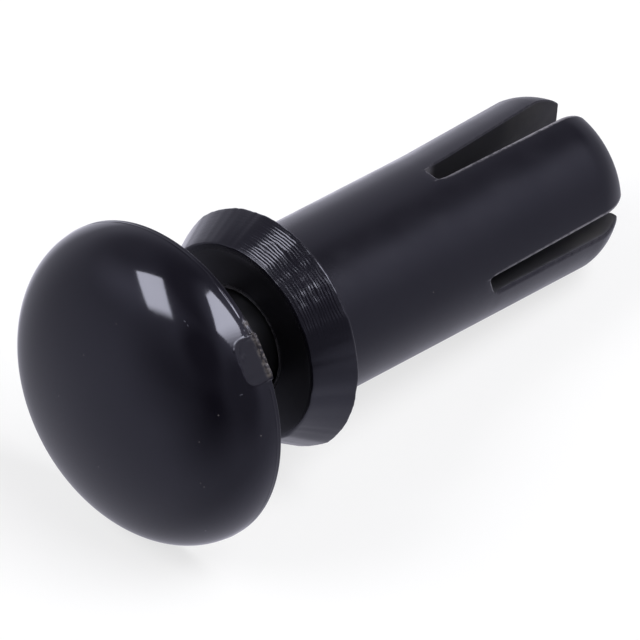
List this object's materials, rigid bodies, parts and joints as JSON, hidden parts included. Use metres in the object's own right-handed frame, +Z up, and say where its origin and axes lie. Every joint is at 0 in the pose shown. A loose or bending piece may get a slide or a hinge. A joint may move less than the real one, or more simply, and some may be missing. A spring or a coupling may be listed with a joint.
{
  "type": "plastic push rivet",
  "caption": "Nylon push rivet: a domed pin slides into a slotted, collared sleeve and spreads its legs behind a panel.",
  "frame": {"origin": "on the floor, under the middle of the lying rivet's bounding box", "axes": "+X runs along the floor from the head to the nose, +Z is up. The rivet's axis lies in the XZ plane and slopes down to the nose by 8.175 degrees"},
  "size_m": [0.0148, 0.0072, 0.0072],
  "materials": {
    "pin_nylon": "polished black moulding, gate mark left as cut",
    "sleeve_nylon": "satin black moulding, turned tool marks on the collar's cone"
  },
  "bodies": {
    "sleeve": {"sleeve": "sleeve_nylon"},
    "pin": {"pin": "pin_nylon"}
  },
  "joints": [
    {"name": "press_in", "type": "slide", "parent": "sleeve", "child": "pin", "axis": [0.9898, 0, -0.1422], "range_m": [0, 0.00325]}
  ]
}
